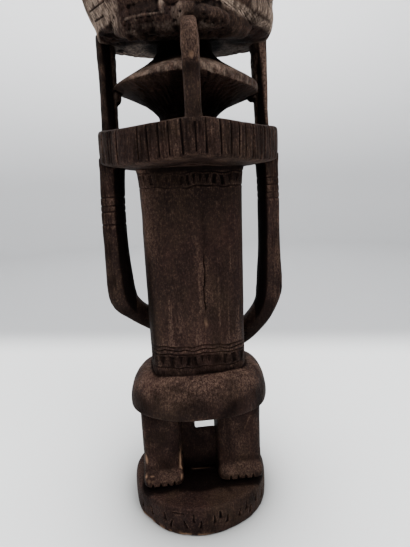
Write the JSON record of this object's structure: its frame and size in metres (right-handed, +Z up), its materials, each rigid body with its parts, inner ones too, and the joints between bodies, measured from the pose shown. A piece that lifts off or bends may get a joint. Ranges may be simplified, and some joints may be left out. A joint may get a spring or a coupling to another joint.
{
  "type": "ancestor figure",
  "caption": "Standing wooden ancestor figure on a round plinth, with slab torso, fluted collar disc, cone-shaped neck, struts to a broad head, and hands at the back.",
  "frame": {"origin": "middle of the plinth's underside", "axes": "+Z up; the figure looks along -Y; +X is at the right as seen from in front"},
  "size_m": [0.1764, 0.1656, 0.6],
  "materials": {
    "dark_wood": "dark brown patina, dry and unvarnished, worn lighter on the edges"
  },
  "bodies": {
    "root": {"figure": "dark_wood"}
  },
  "joints": []
}
